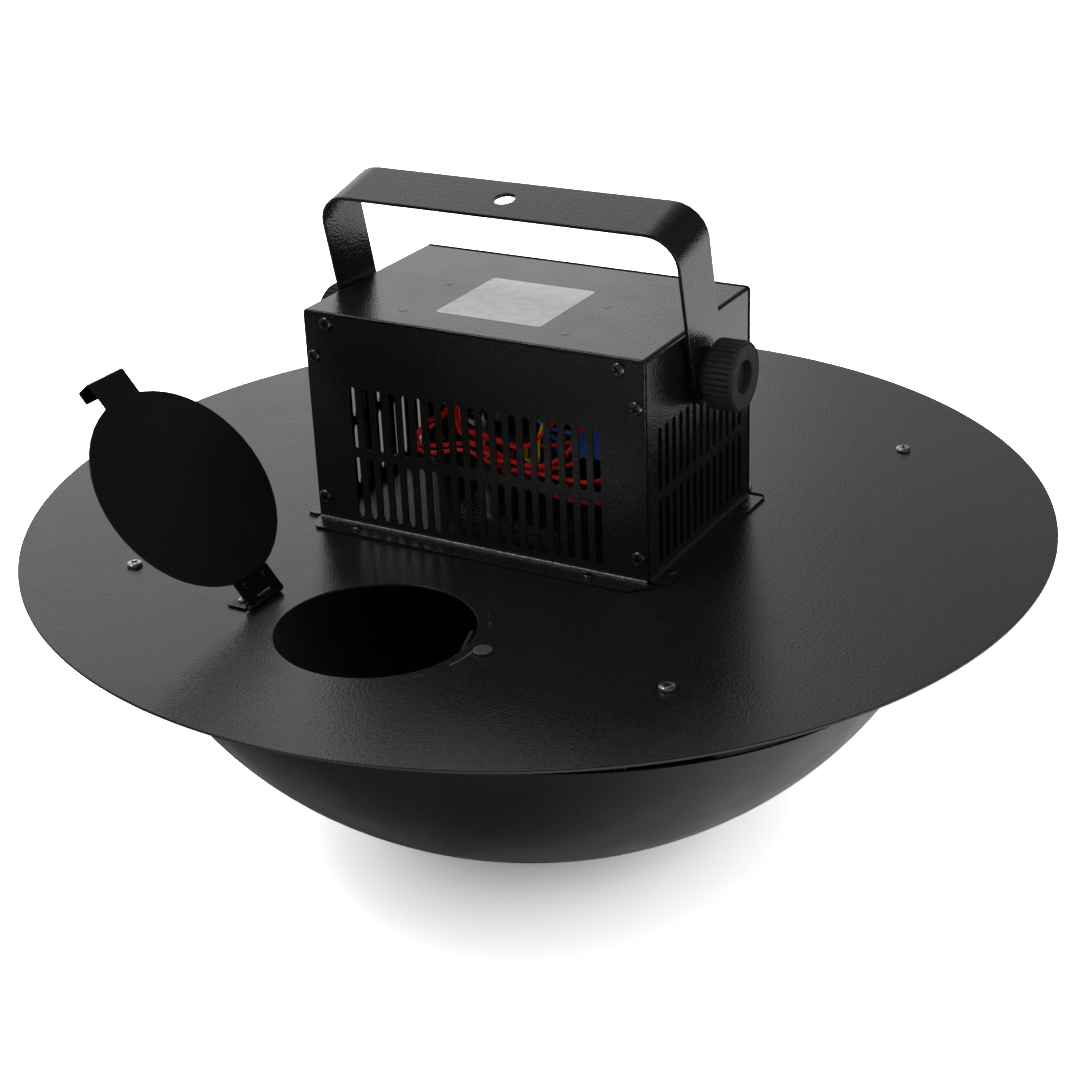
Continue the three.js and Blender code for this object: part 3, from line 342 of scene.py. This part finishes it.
def piece(name, bm, body, finish, soft=35):
    """A named piece that rides on a body, smooth but for edges sharper than soft degrees."""
    mesh = bpy.data.meshes.new(name)
    bm.to_mesh(mesh)
    bm.free()
    mesh.shade_smooth()
    mesh.set_sharp_from_angle(angle=math.radians(soft))
    slot, made = finishes[finish]
    mesh.materials.append(made.material)
    built = bpy.data.objects.new(name, mesh)
    scene.collection.objects.link(built)
    flats = built.modifiers.new("flat_faces", "WEIGHTED_NORMAL")
    flats.keep_sharp = True
    flats.weight = 80
    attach(built, body)
    return built


def verts_of(made):
    return [part for part in made["geom"] if isinstance(part, bmesh.types.BMVert)]


def edges_of(made):
    return [part for part in made["geom"] if isinstance(part, bmesh.types.BMEdge)]


def eased(bm, width, steps=2, sharp=50):
    """Rounds every edge that turns by more than sharp degrees."""
    least = math.radians(sharp)
    edges = [edge for edge in bm.edges if edge.is_manifold and edge.calc_face_angle() > least]
    bmesh.ops.bevel(bm, geom=edges, offset=width * mm, offset_type="OFFSET", segments=steps, profile=0.5,
                    affect="EDGES", clamp_overlap=True, material=-1)


def roll_front_over(bm):
    """The cover's top reaches out over the front panel, and its front end is rolled over."""
    lip_length, roll = 1.4, 1.0
    end = on_deck(0, -cover_end, cover_top - 1.7)
    bmesh.ops.bisect_plane(
        bm, geom=bm.verts[:] + bm.edges[:] + bm.faces[:], dist=0.001 * mm, plane_co=end, plane_no=(0, 0, 1),
    )
    middles = {face: face.calc_center_median() for face in bm.faces if face.normal.y < -0.99}
    ends = [face for face, middle in middles.items()
            if middle.z > end.z and abs(middle.y - end.y) < 0.1 * mm]
    lip = verts_of(bmesh.ops.extrude_face_region(bm, geom=ends))
    bmesh.ops.translate(bm, verts=lip, vec=(0, -lip_length * mm, 0))
    bm.normal_update()

    def outside(face):
        faces_out = face.normal.x * face.calc_center_median().x > 0
        return face.normal.y > -0.5 and (face.normal.z > 0.01 or abs(face.normal.x) > 0.99 and faces_out)

    outer = [edge for edge in bm.edges if all(vert.co.y < end.y - 1.3 * mm for vert in edge.verts)
             and any(outside(face) for face in edge.link_faces)]
    bmesh.ops.bevel(bm, geom=outer, offset=roll * mm, offset_type="OFFSET", segments=6, profile=0.5,
                    affect="EDGES", clamp_overlap=False, material=-1)


def bring_ends_out(bm):
    """The front panel's ends come out to the cover's sides."""
    for vert in bm.verts:
        if abs(abs(vert.co.x) - panel_end * mm) < 0.5 * mm:
            vert.co.x = math.copysign(panel_end_in_scene * mm, vert.co.x)


def dressed(node, suffix, width, finish=None):
    """The model's own solid with its edges eased, in place of the plain one."""
    bm = bmesh.new()
    bm.from_mesh(frame["nodes"][node].data)
    bmesh.ops.remove_doubles(bm, verts=bm.verts, dist=0.002 * mm)
    bmesh.ops.dissolve_limit(bm, angle_limit=math.radians(0.5), verts=bm.verts, edges=bm.edges)
    if node in reshaped:
        reshaped[node](bm)
    if width:
        eased(bm, width)
    built = piece(f"{node}_{suffix}", bm, body_of[node], finish or slot_of[node])
    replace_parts(built, node)
    return built


reshaped = {"top_cover": roll_front_over, "front_panel": bring_ends_out}
own_finish = {"catch_magnet": "magnet_plate", "top_cover": "cover_coat"}

# How far each piece's edges are eased, in mm
eased_by = {
    "top_cover": 0.3, "front_panel": 0.25, "rear_panel": 0.25, "hanging_yoke": 0.5, "fill_lid": 0.3,
    "hinge_leaf_lid": 0.2, "hinge_leaf_deck": 0.2, "bowl_bracket_front_right": 0.3,
    "bowl_bracket_rear_right": 0.3, "bowl_bracket_rear_left": 0.3, "bowl_bracket_front_left": 0.3,
    "friction_washer_right": 0.3, "friction_washer_left": 0.3, "mains_inlet": 0.3, "fuse_drawer": 0.3,
    "switch_body": 0.3, "switch_rocker": 0.4, "motor": 0.4, "shaft_bearing": 0.3, "impeller": 0.25,
    "catch_magnet": 0.25,
}
for node, width in eased_by.items():
    suffix = "coated" if slot_of[node] in ("powder_coat", "satin_black") else "finished"
    dressed(node, suffix, width, own_finish.get(node))
for node in [name for name in frame["nodes"] if name.startswith("lead_") and name != "lead_plug"]:
    dressed(node, "sleeve", 0)


def on_circle(radius, turn):
    """The place that many degrees round a circle about the middle."""
    angle = math.radians(turn)
    return radius * math.cos(angle), radius * math.sin(angle)


def disc(bm, radius, segments, x=0.0, y=0.0):
    """A ring of edges in the flat. Gives them back."""
    verts = bmesh.ops.create_circle(
        bm, segments=segments, radius=radius * mm, matrix=Matrix.Translation((x * mm, y * mm, 0)),
    )["verts"]
    return list({edge for vert in verts for edge in vert.link_edges})


def deck_plate():
    """The round plate with its holes cut, its thickness given and its rims eased."""
    bm = bmesh.new()
    disc(bm, deck_radius, 288)
    disc(bm, fill_hole_radius, 128, *fill_hole_middle)
    disc(bm, shaft_hole_radius, 48)
    disc(bm, screw_hole_radius, 16, *magnet_place)
    for turn in (45, 135, 225, 315):
        disc(bm, screw_hole_radius, 16, *on_circle(bracket_circle, turn))
    bmesh.ops.triangle_fill(bm, use_beauty=True, use_dissolve=False, edges=bm.edges)
    under = verts_of(bmesh.ops.extrude_face_region(bm, geom=bm.faces[:]))
    bmesh.ops.translate(bm, verts=under, vec=(0, 0, -deck_sheet * mm))
    bmesh.ops.recalc_face_normals(bm, faces=bm.faces)
    eased(bm, 0.35, 3, 60)
    bmesh.ops.translate(bm, verts=bm.verts, vec=on_deck(0, 0, 0))
    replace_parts(piece("top_plate_coated", bm, "machine", "deck_coat"), "top_plate")


deck_plate()


def spun_bowl():
    """The deep bowl, spun from its profile, cut to its slanted mouth and given its wall."""
    bm = bmesh.new()
    # The profile is one smooth curve, pulled by four points that are given outwards and up in mm
    profile = [Vector(point) for point in ((212.3, -30), (189.9, -108.3), (102.1, -173.2), (0, -173.2))]
    above_mouth = profile[0] + (profile[0] - profile[1]).normalized() * 12
    points = [above_mouth]
    steps = 40
    for step in range(steps + 1):
        t = step / steps
        pulls = (1 - t) ** 3, 3 * t * (1 - t) ** 2, 3 * t * t * (1 - t), t ** 3
        points.append(sum((pull * corner for pull, corner in zip(pulls, profile)), Vector((0, 0))))
    verts = [bm.verts.new((point.x * mm, 0, point.y * mm)) for point in points]
    edges = [bm.edges.new(pair) for pair in zip(verts, verts[1:])]
    bmesh.ops.spin(
        bm, geom=verts + edges, cent=(0, 0, 0), axis=(0, 0, 1), dvec=(0, 0, 0), angle=math.tau,
        steps=216, use_merge=True, use_duplicate=False,
    )
    bmesh.ops.remove_doubles(bm, verts=bm.verts, dist=0.002 * mm)
    slope = math.tan(bowl_mouth_lean)
    mouth = Vector((slope * math.sin(bowl_mouth_turn), slope * math.cos(bowl_mouth_turn), 1))
    bmesh.ops.bisect_plane(
        bm, geom=bm.verts[:] + bm.edges[:] + bm.faces[:], dist=0.001 * mm,
        plane_co=(0, 0, -bowl_mouth_drop * mm), plane_no=mouth, clear_outer=True,
    )
    bmesh.ops.recalc_face_normals(bm, faces=bm.faces)
    lowest = min(bm.faces, key=lambda face: face.calc_center_median().z)
    if lowest.normal.z > 0:
        bmesh.ops.reverse_faces(bm, faces=bm.faces)
    bmesh.ops.solidify(bm, geom=bm.faces[:], thickness=bowl_sheet * mm)
    eased(bm, 0.3, 2, 60)
    bmesh.ops.translate(bm, verts=bm.verts, vec=on_deck(0, 0, 0))
    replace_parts(piece("bowl_spun", bm, "machine", "satin_black"), "bowl")


spun_bowl()


def cross_screw(name, place, facing, body, finish, radius, height, turn=0.0, shank=None):
    """A domed head with a cross recess, standing on place, with a shank (radius, length) below."""
    bm = bmesh.new()
    rim = disc(bm, 0.74 * radius, 32)
    arm, reach = 0.15 * radius * mm, 0.58 * radius * mm
    corners = ((arm, arm), (arm, reach), (-arm, reach), (-arm, arm), (-reach, arm), (-reach, -arm),
               (-arm, -arm), (-arm, -reach), (arm, -reach), (arm, -arm), (reach, -arm), (reach, arm))
    verts = [bm.verts.new((x, y, 0)) for x, y in corners]
    cross = [bm.edges.new(pair) for pair in zip(verts, verts[1:] + verts[:1])]
    bmesh.ops.triangle_fill(bm, use_beauty=True, use_dissolve=False, edges=rim + cross)
    sunk = bmesh.ops.extrude_edge_only(bm, edges=cross)
    bmesh.ops.scale(bm, verts=verts_of(sunk), vec=(0.7, 0.7, 1))
    bmesh.ops.translate(bm, verts=verts_of(sunk), vec=(0, 0, -0.75 * height * mm))
    bmesh.ops.contextual_create(bm, geom=edges_of(sunk))
    dome = [(grow, drop * height) for grow, drop in ((1.18, 0.14), (1.11, 0.24), (1.03, 0.3), (1.0, 0.32))]
    stem = [(shank[0] / radius, 0), (1, shank[1] - 0.5), (0.75, 0.5)] if shank else []
    edges = rim
    for grow, drop in dome + stem:
        made = bmesh.ops.extrude_edge_only(bm, edges=edges)
        bmesh.ops.scale(bm, verts=verts_of(made), vec=(grow, grow, 1))
        bmesh.ops.translate(bm, verts=verts_of(made), vec=(0, 0, -drop * mm))
        edges = edges_of(made)
    bmesh.ops.contextual_create(bm, geom=edges)
    bmesh.ops.recalc_face_normals(bm, faces=bm.faces)
    standing = Matrix.Translation((0, 0, height * mm))
    turned = Matrix.Rotation(math.radians(turn), 4, "Z")
    upright = Vector(facing).to_track_quat("Z", "Y").to_matrix().to_4x4()
    bmesh.ops.transform(bm, verts=bm.verts, matrix=Matrix.Translation(place) @ upright @ turned @ standing)
    return piece(name, bm, body, finish, 30)


# Screws that hold the panels, the base flanges and the bowl's brackets
panel_places = {"top": (81.3, 108), "side": (90, 90), "low": (90, 13.5)}
for i, (row, (x, z)) in enumerate(panel_places.items()):
    for side, sign in (("left", -1), ("right", 1)):
        for end, facing in (("front", -1), ("rear", 1)):
            place = on_deck(sign * x, facing * panel_front, z)
            cross_screw(f"panel_screw_{end}_{row}_{side}", place, (0, facing, 0), "machine", "black_screw",
                        3.5, 1.6, 17 + 31 * i + 23 * sign)
flange_places, flange_top = ((-67.9, -66), (65.6, -66), (100.2, -45.9), (100.2, 40.1)), 1.5
for i, (x, y) in enumerate(flange_places):
    for end, sign in (("front", 1), ("rear", -1)):
        place = on_deck(sign * x, sign * y, flange_top)
        cross_screw(f"flange_screw_{end}_{i + 1}", place, (0, 0, 1), "machine", "black_screw",
                    2.4, 1.3, 20 + 40 * i)
for corner, turn in bracket_turns.items():
    place = on_deck(*on_circle(bracket_circle, turn), 0.3)
    screw = cross_screw(f"bracket_screw_{corner}_zinc", place, (0, 0, 1), "machine", "screw_zinc",
                        3.9, 1.8, 12 + turn / 3, (2, 9))
    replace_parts(screw, f"bracket_screw_{corner}")


def button(low_radius, high_radius, thickness):
    """A small round plate with a sloping rim, about its own middle."""
    bm = bmesh.new()
    bmesh.ops.create_cone(bm, cap_ends=True, segments=32, radius1=low_radius * mm,
                          radius2=high_radius * mm, depth=thickness * mm)
    return bm


# The hinge's deck leaf is held by two screws, and its lid leaf by two rivets
leaf_top = 1.1
for end, y in (("front", -157.8), ("rear", -145.8)):
    place = on_deck(-72.6, y, leaf_top)
    cross_screw(f"hinge_screw_{end}", place, (0, 0, 1), "machine", "screw_zinc", 2.3, 1.1, 35)
opened = Matrix.Translation(on_deck(*hinge_pivot)) @ Matrix.Rotation(-lid_swing, 4, "Y")
for end, y in (("front", -7.4), ("rear", 7.4)):
    bm = button(1.4, 1.9, 0.5)
    eased(bm, 0.25, 3, 20)
    on_leaf = Vector((9, y, -2.1)) * mm
    bmesh.ops.transform(bm, verts=bm.verts, matrix=opened @ Matrix.Translation(on_leaf))
    piece(f"hinge_rivet_{end}", bm, "lid", "dark_steel")


# Flush studs that show through the coat on the cover's top, above the board's standoffs
studs = {
    "front_left": (-47, -41.7), "rear_left": (-47.4, 2.5),
    "front_right": (43.6, -41.4), "rear_right": (43.7, 1.5),
}
for corner, (x, y) in studs.items():
    bm = button(2.6, 1.9, 0.3)
    eased(bm, 0.08, 2, 20)
    bmesh.ops.translate(bm, verts=bm.verts, vec=on_deck(x, y, cover_top))
    piece(f"stud_mark_{corner}", bm, "machine", "powder_coat")


def blank_patch():
    """A plain silver patch with round corners, printed on the cover's top."""
    bm = bmesh.new()
    bmesh.ops.create_grid(bm, x_segments=1, y_segments=1, size=0.5)
    bmesh.ops.scale(bm, verts=bm.verts, vec=(59 * mm, 58 * mm, 1))
    bmesh.ops.bevel(bm, geom=bm.verts[:], offset=2.2 * mm, offset_type="OFFSET", segments=8, profile=0.5,
                    affect="VERTICES", clamp_overlap=True, material=-1)
    raised = verts_of(bmesh.ops.extrude_face_region(bm, geom=bm.faces[:]))
    bmesh.ops.translate(bm, verts=raised, vec=(0, 0, 0.08 * mm))
    bmesh.ops.recalc_face_normals(bm, faces=bm.faces)
    bmesh.ops.translate(bm, verts=bm.verts, vec=on_deck(-1.5, -9, cover_top - 0.01))
    piece("blank_patch", bm, "machine", "silver_print")


blank_patch()


def clamp_knob(side, sign):
    """A fluted knob: rings of edges drawn out along the pivot, from the collar to the sunk middle."""
    low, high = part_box(f"clamp_knob_{side}")
    pivot = on_deck(0, 0, yoke_pivot_height)
    face = high.x if sign > 0 else low.x
    bm = bmesh.new()
    sides, flutes, flute_depth = 288, 36, 1.1
    ring = disc(bm, 1, sides)
    # Each ring's place along the pivot, its radius, and its share of the flutes' depth
    collar = ((-18.3, 0.5, 0), (-18.3, 12, 0), (-16.2, 12.2, 0), (-15.8, 12.8, 0), (-15.4, 15.2, 0))
    grip = ((-14.6, 16.9, 0.9), (-13.8, 17.4, 1), (-1.9, 17.5, 1), (-1.4, 17.4, 0.8), (-1.1, 17.3, 0.3))
    rim = ((-0.9, 17.2, 0), (-0.35, 17.0, 0), (-0.1, 16.8, 0), (0, 16.7, 0), (0, 16.5, 0))
    groove = ((-0.7, 16.4, 0), (-0.8, 16.3, 0), (-0.8, 15.8, 0), (-0.7, 15.7, 0), (0, 15.6, 0),
              (0, 15.4, 0))
    sunk_middle = ((0, 8.7, 0), (-0.15, 8.4, 0), (-0.5, 8.25, 0), (-4.0, 8.1, 0), (-4.2, 7.8, 0),
                   (-4.2, 0.5, 0))
    rings = collar + grip + rim + groove + sunk_middle
    for i, (along, radius, share) in enumerate(rings):
        if i:
            ring = edges_of(bmesh.ops.extrude_edge_only(bm, edges=ring))
        for vert in {vert for edge in ring for vert in edge.verts}:
            angle = math.atan2(vert.co.y, vert.co.x)
            flute = flute_depth * share * (0.5 + 0.5 * math.cos(flutes * angle)) ** 1.8
            reach = (radius - flute) * mm
            vert.co = (reach * math.cos(angle), reach * math.sin(angle), along * mm)
        if i in (0, len(rings) - 1):
            bmesh.ops.contextual_create(bm, geom=ring)
    bmesh.ops.recalc_face_normals(bm, faces=bm.faces)
    outwards = Vector((sign, 0, 0)).to_track_quat("Z", "Y").to_matrix().to_4x4()
    place = Matrix.Translation((face, pivot.y, pivot.z)) @ outwards
    bmesh.ops.transform(bm, verts=bm.verts, matrix=place)
    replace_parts(piece(f"clamp_knob_{side}_grip", bm, f"knob_{side}", "knob_plastic", 40), f"clamp_knob_{side}")


clamp_knob("right", 1)
clamp_knob("left", -1)


# The floor, just clear of the bowl, and the paper that it is covered with
floor_gap = 0.4 * mm
floor_mesh = bmesh.new()
bmesh.ops.create_circle(floor_mesh, cap_ends=True, segments=96, radius=14)
bmesh.ops.translate(floor_mesh, verts=floor_mesh.verts, vec=(0, 0, cad_box[0].z - floor_gap))
floor_data = bpy.data.meshes.new("floor")
floor_mesh.to_mesh(floor_data)
floor_mesh.free()
floor = bpy.data.objects.new("floor", floor_data)
scene.collection.objects.link(floor)


def greys(tree, place, stops):
    """Grey levels along a place from 0 to 1, with a straight drift between the stops."""
    ramp = wired(tree, "ShaderNodeValToRGB", place)
    elements = ramp.color_ramp.elements
    for i, (position, level) in enumerate(stops):
        stop = elements[i] if i < 2 else elements.new(position)
        stop.position = position
        stop.color = (level, level, level, 1)
    return ramp.outputs["Color"]


def mixed(tree, share, first, second):
    """One value, drifting to another with the share."""
    mix = wired(tree, "ShaderNodeMix", share, data_type="FLOAT")
    feed(tree, mix.inputs["A"], first)
    feed(tree, mix.inputs["B"], second)
    return mix.outputs["Result"]


# The paper is whiter to the eye than in the light that it gives back. Only in reflections does its colour hold
# painted light and shade:
# dimmer in front on the left, a painted shadow close to the bowl, and a painted pool of light on the bowl's
# right. Distances here are in metres.
paper_to_eye, paper_in_light = 3.4, 0.8
shade_around_bowl = ((0, 0.7), (0.15, 0.6), (0.22, 0.2), (0.32, 0.2), (0.5, 1))
bowl_foot = (-0.08, 0.02, cad_box[0].z)
lit_spot = (0.26, 0.12, cad_box[0].z)
paper = bpy.data.materials.new("white_paper")
paper.use_nodes = True
sheet = paper.node_tree
sheet.nodes.remove(sheet.nodes["Principled BSDF"])
white = wired(sheet, "ShaderNodeBsdfDiffuse")
sheet.links.new(white.outputs["BSDF"], sheet.nodes["Material Output"].inputs["Surface"])
seen = wired(sheet, "ShaderNodeLightPath").outputs
on_floor = wired(sheet, "ShaderNodeTexCoord").outputs["Object"]
sideways = wired(sheet, "ShaderNodeVectorMath", on_floor, (0.87, 0.49, 0), operation="DOT_PRODUCT")
from_dim = wired(sheet, "ShaderNodeMapRange", sideways.outputs["Value"], -0.62, 0.1, 0.08, 1.05)
# Painted shadow round the bowl, seen only in reflections
from_bowl = wired(sheet, "ShaderNodeVectorMath", on_floor, bowl_foot, operation="DISTANCE")
shade_near_bowl = greys(sheet, from_bowl.outputs["Value"], shade_around_bowl)
# Painted pool of light on the bowl's right, seen only in reflections
from_lit = wired(sheet, "ShaderNodeVectorMath", on_floor, lit_spot, operation="DISTANCE")
lit_patch = wired(sheet, "ShaderNodeMapRange", from_lit.outputs["Value"], 0.12, 0.36, 1.4, 0,
                  interpolation_type="SMOOTHSTEP")
mirrored_light_and_shade = wired(sheet, "ShaderNodeMath", from_dim.outputs[0], shade_near_bowl, lit_patch.outputs[0],
                 operation="MULTIPLY_ADD")
unseen = mixed(sheet, seen["Is Glossy Ray"], paper_in_light, mirrored_light_and_shade.outputs[0])
sheet.links.new(mixed(sheet, seen["Is Camera Ray"], unseen, paper_to_eye), white.inputs["Color"])
floor_data.materials.append(paper)


# The studio: white behind the object, fading to a dark room on its right and in front of it. Each pair
# is a compass angle in degrees, 0 behind the object and 90 on its right, with the brightness there.
surroundings = (
    (-180, 0.08), (-110, 0.12), (-80, 0.55), (-60, 1.05), (-25.5, 1.05), (-22.5, 0.42), (-12, 0.4),
    (8, 0.06), (75, 0.06), (120, 0.1), (180, 0.08),
)
open_light = 0.6
world = bpy.data.worlds.new("studio")
scene.world = world
world.use_nodes = True
room = world.node_tree
direction = wired(room, "ShaderNodeTexCoord").outputs["Generated"]
towards = wired(room, "ShaderNodeSeparateXYZ", direction).outputs
compass = wired(room, "ShaderNodeMath", towards["X"], towards["Y"], operation="ARCTAN2").outputs[0]
turn_share = wired(room, "ShaderNodeMath", compass, 1 / math.tau, 0.5, operation="MULTIPLY_ADD").outputs[0]
walls = greys(room, turn_share, [(angle / 360 + 0.5, level) for angle, level in surroundings])

# The walls grow dimmer with height, up to a black band under the ceiling
higher_up = wired(room, "ShaderNodeMapRange", towards["Z"], 0.45, 0.6, 1, 0.72).outputs[0]
overhead = wired(room, "ShaderNodeMapRange", towards["Z"], 0.79, 0.83, 1, 0.08).outputs[0]
ceiling = wired(room, "ShaderNodeMapRange", towards["Z"], 0.93, 0.97, 0, 0.6).outputs[0]
by_height = wired(room, "ShaderNodeMath", higher_up, overhead, ceiling, operation="MULTIPLY_ADD").outputs[0]
in_coats = wired(room, "ShaderNodeVectorMath", walls, by_height, operation="MULTIPLY").outputs[0]
rays = wired(room, "ShaderNodeLightPath").outputs
shiny = wired(room, "ShaderNodeMath", rays["Is Glossy Ray"], rays["Is Transmission Ray"],
              operation="MAXIMUM").outputs[0]
mirrored = wired(room, "ShaderNodeMixRGB", shiny, (open_light,) * 3 + (1,), in_coats).outputs[0]
shown = wired(room, "ShaderNodeMixRGB", rays["Is Camera Ray"], mirrored, (1, 1, 1, 1)).outputs[0]
room.links.new(shown, room.nodes["Background"].inputs["Color"])


def softbox(name, azimuth, elevation, distance, width, height, brightness, mirrored=False):
    """A soft panel round the object. Its azimuth is 0 behind the object and 90 on its right."""
    a, e = math.radians(azimuth), math.radians(elevation)
    away = Vector((math.sin(a) * math.cos(e), math.cos(a) * math.cos(e), math.sin(e)))
    light = bpy.data.lights.new(name, "AREA")
    light.shape = "RECTANGLE"
    light.size = width
    light.size_y = height
    light.energy = brightness * width * height * 4
    lamp = bpy.data.objects.new(name, light)
    scene.collection.objects.link(lamp)
    lamp.visible_glossy = mirrored
    lamp.location = Vector((0, 0, -200 * mm)) + away * distance
    lamp.rotation_mode = "QUATERNION"
    lamp.rotation_quaternion = away.to_track_quat("Z", "Y")


# Soft light from above, from the front, and from both sides
softbox("softbox_top", -85, 64, 2.4, 2.2, 1.5, 1.5)
softbox("softbox_front", -132, 54, 2.6, 0.8, 0.7, 5.5, True)
softbox("softbox_left", -80, 35, 2.6, 2.0, 2.0, 1.2)
softbox("softbox_right", 80, 35, 2.6, 2.0, 2.0, 0.9)
